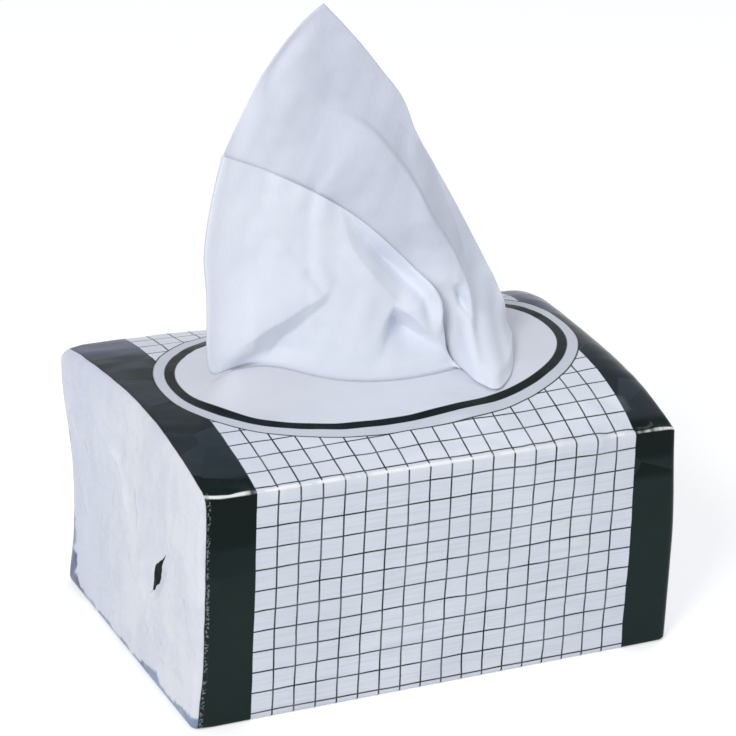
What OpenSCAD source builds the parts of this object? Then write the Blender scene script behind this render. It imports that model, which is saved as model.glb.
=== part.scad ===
// Soft pack of polishing wipes: a printed film wrapper folded round a stack of interfolded
// wipes, with one wipe drawn up through the slit in its domed top.
// Millimetres. Origin at the middle of the underside, +X along the pack, -Y to the front.

/* [Pack] */
// Length of the pack between its folded ends
pack_length = 188; // [160:1:220]
// Depth of the pack from front to back
pack_depth = 126; // [110:1:150]
// Height of the front crease, where the front wall turns to the top
pack_height = 88; // [60:1:120]
// How much higher the back crease stands than the front one
back_rise = 7.5; // [0:0.5:12]
// Drop of the front crease from the middle to the right end
crease_fall = 0.9; // [0:0.1:3]
// Rise of the domed top above the creases, at the middle
dome_rise = 9; // [6:0.5:14]
// How much more the dome rises towards the right end
dome_lean = 4; // [0:0.5:5]
// Fullness of the dome: 2 is a plain arch, more is flatter in the middle
dome_fullness = 2.8; // [2:0.1:3.4]
// Drop of the top where it rolls off at the right end
end_roll = 10; // [0:0.5:12]
// Length of that roll-off
roll_length = 14; // [12:1:30]
// Thickness of the film
film = 0.4; // [0.3:0.1:0.6]
// Radius of the creases along the top
crease_radius = 1.5; // [1:0.1:4]
// Radius of the edges along the underside
bottom_radius = 1.5; // [1:0.1:6]
// Radius where the walls turn to the folded ends
end_radius = 2; // [1.5:0.1:5]

/* [End folds] */
// Height of the lower end flap
lower_flap = 36; // [20:1:45]
// Height of the upper end flap
upper_flap = 58; // [40:1:66]
// Inset of a flap's free edge from the pack's sides, the envelope slant
flap_slant = 34; // [15:1:45]

/* [Slit] */
// Length of the slit
slit_length = 117; // [95:1:130]
// Place of the slit's middle along the pack
slit_mid = -1.5; // [-6:0.5:6]
// How far the front lip is pushed forward
lip_front = 17; // [12:0.5:20]
// How far the back lip is pushed back
lip_back = 1.5; // [1:0.5:5]
// Lift of both lips off the stack
lip_lift = 2.2; // [1:0.1:6]
// Extra lift of the film at the slit's left end
tip_lift = 9; // [0:0.5:12]
// Length of film that the lift dies away over
lift_reach = 14; // [10:1:26]

/* [Stack] */
// Free space between the stack and the film at the sides
stack_clear = 0.4; // [0.2:0.1:1]

/* [Wipe] */
// Thickness of the wipe
wipe_t = 0.6; // [0.4:0.1:0.8]
// Free space between the wipe and what it passes or rests on
wipe_clear = 0.3; // [0.2:0.05:0.5]
// Length of the wipe's foot that lies under each lip
foot = 8; // [4:0.5:12]
// Height of the wipe's upper corner above the front crease
peak_height = 152.5; // [120:0.5:170]
// Place of the upper corner along the pack
peak_x = -26.5; // [-40:0.5:0]
// Height above the front crease where the left edge folds over to the front
kink_height = 101; // [80:1:110]
// Place along the pack where the left edge folds over
kink_x = -62.5; // [-70:0.5:-50]
// Height above the front crease where the front layer's free edge comes down to the slit
front_low = 28; // [22:1:40]
// How far that lower end swings forward
front_swing = 8; // [2:0.5:12]
// How far the left fold leans out over the slit's end
overhang = 9.5; // [2:0.5:12]
// How far the left fold's lower corner droops over the film
droop = 4; // [0:0.5:5]
// How far the right side hangs over the front lip
drape = 19; // [8:0.5:22]
// Depth of the gathers at the right side
gather = 1.8; // [0.6:0.2:2.4]
// Depth of the long folds in both layers
fold_depth = 5; // [1:0.5:6]

/* [Hidden] */
half_l = pack_length / 2;
half_d = pack_depth / 2;
half_slit = slit_length / 2;
slit_left = slit_mid - half_slit;
slit_right = slit_mid + half_slit;
seat_gap = wipe_t + 3 * wipe_clear;
dome_steps = 9;
wall_stations = 26;
front_steps = 22;
back_steps = 30;
row_steps = 16;
film_color = [0.86, 0.88, 0.93];
wipe_color = [0.88, 0.9, 0.95];
stack_color = [0.82, 0.84, 0.9];

function mix(a, b, t) = a + (b - a) * t;
function limit(v, lo, hi) = min(max(v, lo), hi);
function bell(d, w) = exp(-pow(d / w, 2));
function unit(v) = v / max(norm(v), 1e-9);

// The domed top: a line from the front crease up to the back one, and an arch over it that rises
// towards the right and rolls off at the right end
function front_edge(x) = pack_height - crease_fall * x / half_l;
function back_edge(x) = pack_height + back_rise - 1.6 * crease_fall * x / half_l;
function roll(x) = limit((x - half_l + roll_length) / roll_length, 0, 1);
function rise(x) = dome_rise + dome_lean * (x / half_l + 0.25 * pow(x / half_l, 2))
    - end_roll * (1 - sqrt(1 - pow(roll(x), 2)));
function arch(x, y) = 1 - pow(min(abs(y) / half_d, 1), dome_fullness + 0.5 * x / half_l);
function dome(x, y) = mix(front_edge(x), back_edge(x), 0.5 + y / pack_depth) + rise(x) * arch(x, y);

// Length of the dome's slope over each millimetre in plan, so that the film keeps its thickness
function slope(x, y) =
    min(1.5, norm([dome(x + 0.5, y) - dome(x - 0.5, y), dome(x, y + 0.5) - dome(x, y - 0.5), 1]));

// The lift of the film along the slit: a low ridge, and a peak at the left where the wipe pulls it up
tip_x = slit_left + 4;
function lift(x, y) = bell(y + 0.35 * lip_front, lift_reach)
    * (lip_lift * exp(-pow((x - slit_mid) / (0.9 * half_slit), 4))
        + tip_lift * bell(x - tip_x, (x < tip_x ? 0.11 : 0.31) * slit_length));
function film_top(x, y) = dome(x, y) + lift(x, y);

// The slit's lips, pushed apart into an eye that is widest right of the middle
function eye(x) =
    let (q = limit((x - slit_left) / slit_length, 0, 1))
    pow(q, 1.1) * pow(1 - q, 0.7) / 0.3;
function front_lip(x) = -lip_front * eye(x);
function back_lip(x) = lip_back * eye(x);

// Half of a cross-section from a lip down to the underside, drawn in by e, on the front side (-1) or
// the back one (1). The top is lowered by drop, the underside by sink, and corner is the radius of
// the bottom edge. An inset larger than a radius moves the corner in whole.
function half_section(x, side, e, lip, swell, drop, sink, corner) =
    let (yc = half_d - crease_radius)
    let (rc = max(crease_radius - e, 0.3))
    let (rb = max(corner - e, 0.3))
    let (ic = rc - crease_radius + e)
    let (ib = rb - corner + e)
    let (zc = dome(x, side * yc) - crease_radius - ic - drop)
    concat(
        [for (i = [0 : dome_steps - 1])
            let (y = side * mix(lip, yc - ic, i / dome_steps))
            [x, y, dome(x, y) + swell * lift(x, y) - e - (slope(x, y) - 1) * min(e, film) - drop]],
        [for (a = [0, 45, 90])
            [x, side * (yc - ic + rc * sin(a)), zc + rc * cos(a)]],
        [for (a = [0, 45, 90])
            [x, side * (half_d - corner - ib + rb * cos(a)), corner + ib - rb * sin(a) - sink]]);

// A whole cross-section, from the front lip round the pack to the back lip
function section(x, e, swell, drop, sink, corner) =
    let (front = half_section(x, -1, e, swell * -front_lip(x), swell, drop, sink, corner))
    let (back = half_section(x, 1, e, swell * back_lip(x), swell, drop, sink, corner))
    let (last = len(back) - 1)
    concat(front, [for (i = [last : -1 : 0]) back[i]]);

// Stations along the pack: the rounded turn of each end, then even steps in between
turn = [90, 45, 0];
flat_end = half_l - 2 * film;
turn_x = flat_end - end_radius;
slit_x = [for (i = [0 : wall_stations]) mix(slit_left, slit_right, i / wall_stations)];
left_x = [for (q = [0.3, 0.65]) mix(-turn_x, slit_left, q)];
right_x = [for (q = [0.3, 0.58, 0.72, 0.84, 0.93]) mix(slit_right, turn_x, q)];

// Each station holds its place along the pack and its inset, for a skin drawn in by e
function end_rows(e, side) =
    [for (k = [0 : len(turn) - 1])
        [side * (turn_x + (end_radius - e) * sin(turn[k])),
         e + (end_radius - e) * (1 - cos(turn[k]))]];
function rows(e) =
    let (left = end_rows(e, -1))
    let (right = end_rows(e, 1))
    concat(left, [for (x = concat(left_x, slit_x, right_x)) [x, e]],
        [for (k = [len(right) - 1 : -1 : 0]) right[k]]);

function is_open(row) = abs(row[0] - slit_mid) < half_slit - 0.001;

// Printed film folded round the stack: a thin shell whose seam along the top is open at the slit
module wrapper_shell() {
    outer = rows(0);
    inner = rows(film);
    outer_loops = [for (r = outer) section(r[0], r[1], 1, 0, 0, bottom_radius)];
    inner_loops = [for (r = inner) section(r[0], r[1], 1, 0, 0, bottom_radius)];
    n = len(outer_loops[0]);
    k_last = len(outer) - 1;
    base = (k_last + 1) * n;
    function id(k, i) = k * n + ((i == n - 1 && !is_open(outer[k])) ? 0 : i);
    points = concat([for (l = outer_loops) each l], [for (l = inner_loops) each l]);
    skin = [for (k = [0 : k_last - 1]) for (i = [0 : n - 2])
        each [[id(k, i), id(k + 1, i), id(k + 1, i + 1)], [id(k, i), id(k + 1, i + 1), id(k, i + 1)]]];
    lining = [for (t = skin) [t[0] + base, t[2] + base, t[1] + base]];
    lips = [for (k = [0 : k_last - 1]) if (is_open(outer[k]) || is_open(outer[k + 1]))
        each [[id(k, 0), base + id(k, 0), base + id(k + 1, 0)],
              [id(k, 0), base + id(k + 1, 0), id(k + 1, 0)],
              [id(k, n - 1), base + id(k + 1, n - 1), base + id(k, n - 1)],
              [id(k, n - 1), id(k + 1, n - 1), base + id(k + 1, n - 1)]]];
    caps = [[for (i = [0 : n - 2]) id(0, i)],
        [for (i = [n - 2 : -1 : 0]) id(k_last, i)],
        [for (i = [n - 2 : -1 : 0]) base + id(0, i)],
        [for (i = [0 : n - 2]) base + id(k_last, i)]];
    polyhedron(points = points, faces = concat(skin, lining, lips, caps), convexity = 6);
}

// The envelope folds of one end: an upper flap laid down, then a lower flap laid over it
module end_flaps(side) {
    low = max(bottom_radius, end_radius);
    high = pack_height - crease_radius;
    wide = half_d - max(bottom_radius, crease_radius, end_radius) - 0.5;
    crown = [for (i = [-8 : 8])
        let (y = wide * i / 8)
        [y, dome(side * half_l, y) - 1.5 * end_radius]];
    upper = concat(crown, [[wide - flap_slant, high - upper_flap],
        [flap_slant - wide, high - upper_flap]]);
    lower = [[-wide, low], [wide, low], [wide - flap_slant, low + lower_flap],
        [flap_slant - wide, low + lower_flap]];
    sunk = film / 2;
    mirror([side < 0 ? 1 : 0, 0, 0]) translate([flat_end - sunk, 0, 0]) rotate([90, 0, 90]) {
        linear_extrude(height = film + sunk) polygon(upper);
        linear_extrude(height = 2 * film + sunk) polygon(lower);
    }
}

module film_wrapper() {
    color(film_color) {
        wrapper_shell();
        end_flaps(-1);
        end_flaps(1);
    }
}

// The stack of interfolded wipes: a loaf that fills the film and lies on its floor
module wipe_stack() {
    e = film + stack_clear;
    left = end_rows(e, -1);
    right = end_rows(e, 1);
    stations = concat(left, [for (u = [-0.75 : 0.25 : 0.75]) [u * half_l, e]],
        [for (k = [len(right) - 1 : -1 : 0]) right[k]]);
    loops = [for (r = stations)
        section(r[0], r[1], 0, seat_gap - stack_clear, stack_clear, bottom_radius + 1)];
    n = len(loops[0]) - 1;
    k_last = len(stations) - 1;
    function id(k, i) = k * n + i % n;
    points = [for (l = loops) for (i = [0 : n - 1]) l[i]];
    skin = [for (k = [0 : k_last - 1]) for (i = [0 : n - 1])
        each [[id(k, i), id(k + 1, i), id(k + 1, i + 1)], [id(k, i), id(k + 1, i + 1), id(k, i + 1)]]];
    caps = [[for (i = [0 : n - 1]) id(0, i)], [for (i = [n - 1 : -1 : 0]) id(k_last, i)]];
    color(stack_color) polyhedron(points = points, faces = concat(skin, caps), convexity = 2);
}

// The pulled wipe. The sheet runs from its right edge along the back layer to the left fold (s = 0),
// and on along the front layer; each column rises from its foot to its top edge. On the right the back
// layer crosses to the front lip and hangs over it.
pass = wipe_clear + wipe_t / 2;
base_left = slit_left + 4;
base_right = slit_right - 3;
front_end = slit_left + 0.72 * slit_length;
hang_x = slit_left + 0.81 * slit_length;
fold_share = 0.14;
function layer(s) = limit(abs(s) / fold_share, 0, 1);
function base_x(s) = s > 0
    ? mix(base_left, front_end, 1.06 * s * s / (s + 0.06))
    : mix(base_left, base_right, -s * (0.94 + 0.06 * pow(s, 6)));
function hang(s) =
    let (d = base_x(s) - hang_x)
    s > 0 ? 0 : bell(d, (d < 0 ? 0.1 : 0.145) * slit_length);

// Where a column passes the slit, and its lower edge, which is the same place unless it hangs
function near_y(s) = pass + max(front_lip(base_x(s) - pass), front_lip(base_x(s) + pass));
function edge_y(s) =
    let (far = back_lip(base_x(s)) - pass)
    mix((near_y(s) + far) / 2,
        s > 0 ? near_y(s) : mix(far, front_lip(hang_x) - drape, hang(s)), layer(s));
function slit_y(s) = max(edge_y(s), near_y(s));

// The way out from under the wipe at its foot, square to its outline in plan
function away(s) = unit([layer(s) - 1, s > 0 ? -layer(s) : layer(s)]);

// Top edge of each layer: place along the pack, depth, and height above the front crease
peak_share = round(0.42 * back_steps) / back_steps;
function past_peak(s) = limit((-s - peak_share) / (1 - peak_share), 0, 1);
function top_x(s) = s > 0
    ? mix(kink_x, front_end - 2.5, 1.25 * s - 0.25 * pow(s, 5))
    : -s < peak_share
        ? mix(kink_x, peak_x, pow(-s / peak_share, 1.1))
        : mix(peak_x, base_right, past_peak(s));
function top_y(s) = s > 0 ? -3 - front_swing * s : mix(-3, 2, past_peak(s));
function top_h(s) = s > 0
    ? mix(kink_height, front_low, 0.6 * s + 0.4 * s * s)
    : -s < peak_share
        ? mix(peak_height, kink_height, pow(1 + s / peak_share, 1.3))
        : peak_height * (1 - 0.55 * past_peak(s) - 0.3 * pow(past_peak(s), 2));

// A soft ridge or valley along the line from a to b across the sheet
function fold_line(p, a, b, w) =
    let (d = b - a)
    let (u = limit(((p - a) * d) / (d * d), -0.2, 1.2))
    let (q = p - a - u * d)
    bell(norm(q), w * kink_height) * limit(1.4 * sin(180 * (u + 0.2) / 1.4), 0, 1);

// A place on the sheet, as shares of the slit's half length and of the kink's height
function at(u, v) = [slit_mid + u * half_slit, v * kink_height];
function front_folds(p) =
    fold_line(p, at(-0.83, 0.24), at(-0.38, 0.41), 0.07)
    - 0.35 * fold_line(p, at(-1, 0.32), at(-0.49, 0.5), 0.07)
    + 0.8 * fold_line(p, at(0.13, 0.3), at(0.4, 0.21), 0.05)
    - 0.6 * fold_line(p, at(0.16, 0.4), at(0.37, 0.32), 0.06)
    + 0.5 * fold_line(p, at(-0.14, 0.71), at(0.16, 0.48), 0.07);
function back_folds(p) =
    0.5 * fold_line(p, at(-0.01, 1.04), at(0.57, 0.54), 0.08)
    - 0.8 * fold_line(p, at(-0.21, 0.96), at(0.4, 0.48), 0.08);

// One point of the sheet above its lower edge: t runs up to the top edge
function sheet_point(s, t) =
    let (x0 = base_x(s))
    let (y0 = edge_y(s))
    let (d = hang(s))
    let (z0 = film_top(x0, y0) + pass + mix(1, 0.6, d))
    let (lean = overhang * (1 - pow(t, 3.2)) * (1 - pow(1 - t, 30)) * pow(1 - abs(s), 7))
    let (x = mix(x0, top_x(s), t) - lean)
    let (full = 2.5 * d * limit(t / 0.05, 0, 1) * (1 - t))
    let (corner = droop * bell(t - 0.06, 0.06) * pow(1 - abs(s), 10))
    let (z = mix(z0, pack_height + top_h(s), t) + full - corner)
    let (p = [x, z - pack_height])
    let (relief = limit(6 * t, 0, 1) * fold_depth * (s > 0 ? front_folds(p) : back_folds(p)))
    let (pleat = gather * limit(5 * t, 0, 1) * (1 - t) * d * sin(360 * 9 * s))
    let (back = mix(t, 1 - pow(1 - t, 2.3), limit((-s - 0.66) / 0.12, 0, 1)))
    [x, mix(y0, top_y(s), back) + layer(s) * (relief + pleat), z];

// One point of the wipe's foot, which lies on the stack under the lips
function foot_point(s, reach, up) =
    let (p = [base_x(s), slit_y(s)] + away(s) * reach)
    [p[0], p[1], dome(p[0], p[1]) - film - seat_gap + wipe_clear + wipe_t / 2 + up];

// One point of the way from the slit over the lip to the lower edge, or straight up where it does not hang
function lip_point(s, q, up, over) =
    let (y = mix(slit_y(s), edge_y(s), q))
    [base_x(s), y, film_top(base_x(s), y) + pass + mix(up, over, hang(s))];

function column(s) = concat(
    [foot_point(s, foot, 0), foot_point(s, foot / 2, 0), foot_point(s, 0.8, 0), foot_point(s, 0, 1)],
    [lip_point(s, 0, -0.4, 0.4), lip_point(s, 0.3, 0, 0.2), lip_point(s, 0.65, 0.4, 0.1),
        lip_point(s, 0.95, 0.7, 0.1)],
    [for (j = [0 : row_steps]) sheet_point(s, pow(j / row_steps, 1.2))]);

module pulled_wipe() {
    mids = concat([for (i = [back_steps : -1 : 1]) column(-i / back_steps)],
        [for (i = [0 : front_steps]) column(i / front_steps)]);
    m = len(mids) - 1;
    n = len(mids[0]) - 1;
    normals = [for (i = [0 : m]) [for (j = [0 : n])
        unit(cross(mids[min(i + 1, m)][j] - mids[max(i - 1, 0)][j],
            mids[i][min(j + 1, n)] - mids[i][max(j - 1, 0)]))]];
    points = concat(
        [for (i = [0 : m]) for (j = [0 : n]) mids[i][j] + normals[i][j] * wipe_t / 2],
        [for (i = [0 : m]) for (j = [0 : n]) mids[i][j] - normals[i][j] * wipe_t / 2]);
    base = (m + 1) * (n + 1);
    function id(i, j) = i * (n + 1) + j;
    face = [for (i = [0 : m - 1]) for (j = [0 : n - 1])
        each [[id(i, j), id(i + 1, j + 1), id(i + 1, j)], [id(i, j), id(i, j + 1), id(i + 1, j + 1)]]];
    rear = [for (t = face) [t[0] + base, t[2] + base, t[1] + base]];
    rim = concat(
        [for (i = [0 : m - 1]) each [[id(i, 0), id(i + 1, 0), base + id(i + 1, 0)],
            [id(i, 0), base + id(i + 1, 0), base + id(i, 0)],
            [id(i, n), base + id(i + 1, n), id(i + 1, n)],
            [id(i, n), base + id(i, n), base + id(i + 1, n)]]],
        [for (j = [0 : n - 1]) each [[id(0, j), base + id(0, j + 1), id(0, j + 1)],
            [id(0, j), base + id(0, j), base + id(0, j + 1)],
            [id(m, j), id(m, j + 1), base + id(m, j + 1)],
            [id(m, j), base + id(m, j + 1), base + id(m, j)]]]);
    color(wipe_color) polyhedron(points = points, faces = concat(face, rear, rim), convexity = 10);
}

film_wrapper();
wipe_stack();
pulled_wipe();
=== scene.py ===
import bmesh
import bpy
import numpy as np
from mathutils import Matrix, Vector


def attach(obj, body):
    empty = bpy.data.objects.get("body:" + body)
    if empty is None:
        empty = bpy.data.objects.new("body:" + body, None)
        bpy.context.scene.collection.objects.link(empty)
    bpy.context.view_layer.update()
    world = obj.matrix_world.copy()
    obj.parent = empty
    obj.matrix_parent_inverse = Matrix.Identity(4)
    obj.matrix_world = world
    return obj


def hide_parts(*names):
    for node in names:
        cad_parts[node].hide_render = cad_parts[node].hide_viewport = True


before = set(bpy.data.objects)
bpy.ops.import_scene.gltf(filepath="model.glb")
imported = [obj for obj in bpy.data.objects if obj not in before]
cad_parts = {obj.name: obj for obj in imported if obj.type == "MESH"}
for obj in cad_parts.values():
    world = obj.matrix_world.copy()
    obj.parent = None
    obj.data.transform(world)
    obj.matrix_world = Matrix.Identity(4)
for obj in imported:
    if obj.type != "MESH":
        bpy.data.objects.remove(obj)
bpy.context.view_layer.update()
print("frame loaded:", ", ".join(sorted(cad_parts)))

mm = 0.001  # shapes are worked out in millimetres, while meshes and shaders take metres
perMetre = 1000.0


def screenColour(r, g, b):  # 0 to 255 as seen on screen, to the linear colour that a shader takes
    c = np.array([r, g, b]) / 255
    linear = np.where(c <= 0.04045, c / 12.92, ((c + 0.055) / 1.055) ** 2.4)
    return (*linear.tolist(), 1.0)


def mix(a, b, q):  # straight from a at 0 to b at 1
    return a + (b - a) * q


def bell(d, width):  # 1 at distance 0, and e to the minus squared share of the width away from it
    return np.exp(-((d / width) ** 2))


def hump(way):  # half a sine wave: 0 at both ends of the way and 1 halfway
    return np.sin(np.pi * way)


def slope(v, low, high):  # straight step from 0 at low to 1 at high
    return np.clip((v - low) / (high - low), 0, 1)


def ramp(v, low, high):  # smooth step from 0 at low to 1 at high, also where low is the larger one
    q = slope(v, low, high)
    return q * q * (3 - 2 * q)


# Soft noise: the sum of plane waves with seeded directions, lengths near size and phases
def ripple(a, b, size, seed, waves=16):
    rng = np.random.default_rng(seed)
    turn, shift = rng.uniform(0, 2 * np.pi, (2, waves))
    step = 2 * np.pi / (size * rng.uniform(0.6, 1.7, waves))
    total = 0.0
    for w in range(waves):
        total = total + np.cos(step[w] * (a * np.cos(turn[w]) + b * np.sin(turn[w])) + shift[w])
    return total / np.sqrt(waves)


# A smooth curve through points at the given knots: cubic pieces whose slopes come from the chords beside each point
def curveThrough(knots, points, q):
    knots, points = np.asarray(knots, float), np.asarray(points, float)
    rate = np.gradient(points, knots, axis=0)
    i = np.clip(np.searchsorted(knots, q, side="right") - 1, 0, len(knots) - 2)
    h = (knots[i + 1] - knots[i])[..., None]
    u = ((q - knots[i])[..., None]) / h
    return ((1 + 2 * u) * (1 - u) ** 2 * points[i] + u * (1 - u) ** 2 * h * rate[i]
            + u ** 2 * (3 - 2 * u) * points[i + 1] + u ** 2 * (u - 1) * h * rate[i + 1])


def smoothLine(points, count=33):  # a fine bent line along the smooth curve through the points, with even steps
    points = np.asarray(points, float)
    along = np.concatenate([[0], np.cumsum(np.hypot(*np.diff(points, axis=0).T))])
    return curveThrough(along, points, np.linspace(0, along[-1], count))


# Distance from a bent line, positive on the right of its direction, and the share of the way along it
def acrossLine(x, z, line):
    line = smoothLine(line)
    a, d = line[:-1], np.diff(line, axis=0)
    p = np.stack([x, z], -1)[..., None, :] - a
    u = np.clip((p * d).sum(-1) / (d * d).sum(-1), 0, 1)
    off = p - u[..., None] * d
    gap = np.sqrt((off ** 2).sum(-1))
    pick = gap.argmin(-1)[..., None]
    side = np.sign(d[:, 1] * p[..., 0] - d[:, 0] * p[..., 1])
    take = lambda v: np.take_along_axis(v, pick, -1)[..., 0]
    return take(gap) * take(side), (pick[..., 0] + take(u)) / len(d)


def addObject(name, data):
    thing = bpy.data.objects.new(name, data)
    bpy.context.scene.collection.objects.link(thing)
    return thing


# A mesh from a grid of points in millimetres, with a UV per grid point; points that coincide are welded
def gridPiece(name, points, uv, material, weldGap=1e-6):
    rows, cols = points.shape[:2]
    ids = np.arange(rows * cols).reshape(rows, cols)
    quads = np.stack([ids[:-1, :-1], ids[1:, :-1], ids[1:, 1:], ids[:-1, 1:]], -1).reshape(-1, 4)
    mesh = bpy.data.meshes.new(name)
    mesh.vertices.add(rows * cols)
    mesh.vertices.foreach_set("co", (points * mm).astype(np.float32).ravel())
    mesh.loops.add(quads.size)
    mesh.loops.foreach_set("vertex_index", quads.ravel().astype(np.int32))
    mesh.polygons.add(len(quads))
    mesh.polygons.foreach_set("loop_start", np.arange(0, quads.size, 4, dtype=np.int32))
    mesh.update(calc_edges=True)
    layer = mesh.uv_layers.new(name="film")
    layer.data.foreach_set("uv", uv.reshape(-1, 2)[quads.ravel()].astype(np.float32).ravel())
    work = bmesh.new()
    work.from_mesh(mesh)
    bmesh.ops.remove_doubles(work, verts=work.verts, dist=weldGap)
    bmesh.ops.recalc_face_normals(work, faces=work.faces)
    work.to_mesh(mesh)
    work.free()
    mesh.polygons.foreach_set("use_smooth", np.ones(len(mesh.polygons), bool))
    mesh.materials.append(material)
    return addObject(name, mesh)


class Nodes:  # short calls for building a node tree
    def __init__(self, tree):
        self.tree = tree

    def add(self, kind, **values):
        node = self.tree.nodes.new(kind)
        for key, value in values.items():
            setattr(node, key, value)
        return node

    def join(self, source, target):  # a number, place or colour is set on the socket itself
        if isinstance(source, (int, float, tuple)):
            target.default_value = source
        else:
            self.tree.links.new(source, target)

    def feed(self, node, given):  # joins or sets the inputs that are named
        for name, source in given.items():
            self.join(source, node.inputs[name])
        return node

    def math(self, operation, *values, clamp=False):
        node = self.add("ShaderNodeMath", operation=operation, use_clamp=clamp)
        for socket, value in zip(node.inputs, values):
            self.join(value, socket)
        return node.outputs[0]

    def times(self, first, *others):
        for other in others:
            first = self.math("MULTIPLY", first, other)
        return first

    def plus(self, first, *others):
        for other in others:
            first = self.math("ADD", first, other)
        return first

    def minus(self, a, b):
        return self.math("SUBTRACT", a, b)

    def timesPlus(self, a, b, c, clamp=False):  # a times b, plus c
        return self.math("MULTIPLY_ADD", a, b, c, clamp=clamp)

    def larger(self, a, b):
        return self.math("MAXIMUM", a, b)

    def away(self, a, b):  # distance of a from b, without sign
        return self.math("ABSOLUTE", self.minus(a, b))

    def fade(self, value, low, high):  # smooth step of a value, 0 at low and 1 at high
        node = self.add("ShaderNodeMapRange", interpolation_type="SMOOTHSTEP")
        return self.feed(node, {"Value": value, "From Min": low, "From Max": high}).outputs["Result"]

    def blend(self, mask, a, b):  # colour a where the mask is 0 and b where it is 1
        node = self.add("ShaderNodeMix", data_type="RGBA")
        for socket, value in ((0, mask), (6, a), (7, b)):  # a Mix node's own sockets for a factor and two colours
            self.join(value, node.inputs[socket])
        return node.outputs[2]

    def noise(self, vector, scale, detail=2.0, rough=0.5):
        given = {"Vector": vector, "Scale": scale, "Detail": detail, "Roughness": rough}
        return self.feed(self.add("ShaderNodeTexNoise"), given).outputs["Fac"]

    def cells(self, vector, scale):  # one chance value for each cell of a Voronoi pattern
        node = self.feed(self.add("ShaderNodeTexVoronoi"), {"Vector": vector, "Scale": scale})
        return self.split(node.outputs["Color"])[0]

    def stretch(self, vector, x, y, z):
        return self.feed(self.add("ShaderNodeMapping"), {"Vector": vector, "Scale": (x, y, z)}).outputs["Vector"]

    def split(self, vector):
        return self.feed(self.add("ShaderNodeSeparateXYZ"), {"Vector": vector}).outputs

    def seen(self):  # 1 where the camera looks, straight or by way of metal and glass, and 0 for other light
        path = self.add("ShaderNodeLightPath").outputs
        return self.larger(path["Is Camera Ray"], self.larger(path["Is Glossy Ray"], path["Is Transmission Ray"]))

    def bumpOn(self, shader, height, strength, distance):
        given = {"Height": height, "Strength": strength, "Distance": distance}
        self.join(self.feed(self.add("ShaderNodeBump"), given).outputs["Normal"], shader.inputs["Normal"])


def freshMaterial(name):
    material = bpy.data.materials.new(name)
    material.use_nodes = True
    shader = material.node_tree.nodes["Principled BSDF"]
    return material, Nodes(material.node_tree), shader


# camera: solved from the printed grid, in millimetres of the pack's own frame
view = {
    "place": (-446.7, -907.9, 525.0),
    "right": (0.90449, -0.42467, 0.03941),
    "up": (0.13211, 0.36684, 0.92085),
    "back": (-0.40552, -0.82770, 0.38791),
    "focalPixels": 3000, "frame": 736,  # focal length and width of the picture, in pixels
    "sensor": 36, "clip": (0.01, 50),
}
camera = bpy.data.cameras.new("camera")
camera.sensor_width = view["sensor"]
camera.lens = view["sensor"] * view["focalPixels"] / view["frame"]
camera.clip_start, camera.clip_end = view["clip"]
cameraObject = addObject("camera", camera)
cameraTurn = Matrix((view["right"], view["up"], view["back"])).transposed().to_4x4()
cameraObject.matrix_world = Matrix.Translation([v * mm for v in view["place"]]) @ cameraTurn
bpy.context.scene.camera = cameraObject
print("camera set")

# the pack's measures, shared by film, stack and wipe, in millimetres
pack = {
    "length": 188, "depth": 126,
    "front": (88.0, -0.010),        # height of the front crease, and its change along the pack
    "back": (95.5, -0.016),         # the same for the back crease
    "rise": (8.9, 0.044, 0.00012),  # rise of the arch over the line between them, as a curve of x
    "power": (2.8, 0.005),          # fullness of the arch, and its change along the pack
    "rollFrom": 78, "roll": 12.3,   # roll-off of the top towards the right end
    "crease": 1.9, "bottom": 1.4,   # radius of the top creases and of the bottom edges
    "leastRadius": 0.2,             # of a corner that is drawn in
    "softFrom": (9, 1), "softRight": 0.1, "softBottom": 0.3,  # softer corners: way from the ends, and lesser shares
    "turn": 2.6,                    # radius of the turn into the ends
    "film": 0.4,                    # thickness of the film
    "slit": (-60, 57), "lipFront": 17, "lipBack": 1.5,  # its ends, and how far each lip is drawn aside
    "eye": (1.1, 0.7, 0.300),       # powers of the opening at its left and right, and its largest value
    "liftMiddle": -6,               # y of the film's lift along the slit
    "lift": 2.2, "liftLong": 54, "liftWide": 14,  # a low ridge
    "tipLift": 9.0, "tipAt": -56, "tipLong": (9, 36), "tipWide": 9,  # a peak at the slit's left tip
    "buckle": 1.4, "buckleAt": (14, -39), "buckleSize": (14, 8),  # a soft buckle in front of the slit
    "endMiddle": 48.0,              # height at which the ends' rings close
}
halfL, halfD = pack["length"] / 2, pack["depth"] / 2
slitLeft, slitRight = pack["slit"]
flatEnd = halfL - 2 * pack["film"]


# The top: a line from the front crease up to the back one, plus an arch over it that rolls off to the right
def domeZ(x, y):
    front, back = (pack[k][0] + pack[k][1] * x for k in ("front", "back"))
    a, b, c = pack["rise"]
    roll = slope(x, pack["rollFrom"], halfL)
    rise = a + b * x + c * x * x - pack["roll"] * (1 - np.sqrt(1 - roll * roll))
    arch = 1 - np.minimum(np.abs(y) / halfD, 1) ** (pack["power"][0] + pack["power"][1] * x)
    return mix(front, back, (y + halfD) / (2 * halfD)) + rise * arch


# The film's lift: a low ridge along the slit, a peak at the left where the wipe pulls it up, and a buckle
def liftZ(x, y):
    off = y - pack["liftMiddle"]
    tipLong = np.where(x < pack["tipAt"], *pack["tipLong"])
    tip = pack["tipLift"] * bell(x - pack["tipAt"], tipLong) * bell(off, pack["tipWide"])
    ridge = pack["lift"] * np.exp(-((x / pack["liftLong"]) ** 4)) * bell(off, pack["liftWide"])
    (buckleX, buckleY), (buckleLong, buckleWide) = pack["buckleAt"], pack["buckleSize"]
    buckle = pack["buckle"] * bell(x - buckleX, buckleLong) * bell(y - buckleY, buckleWide)
    return ridge + tip + buckle


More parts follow.
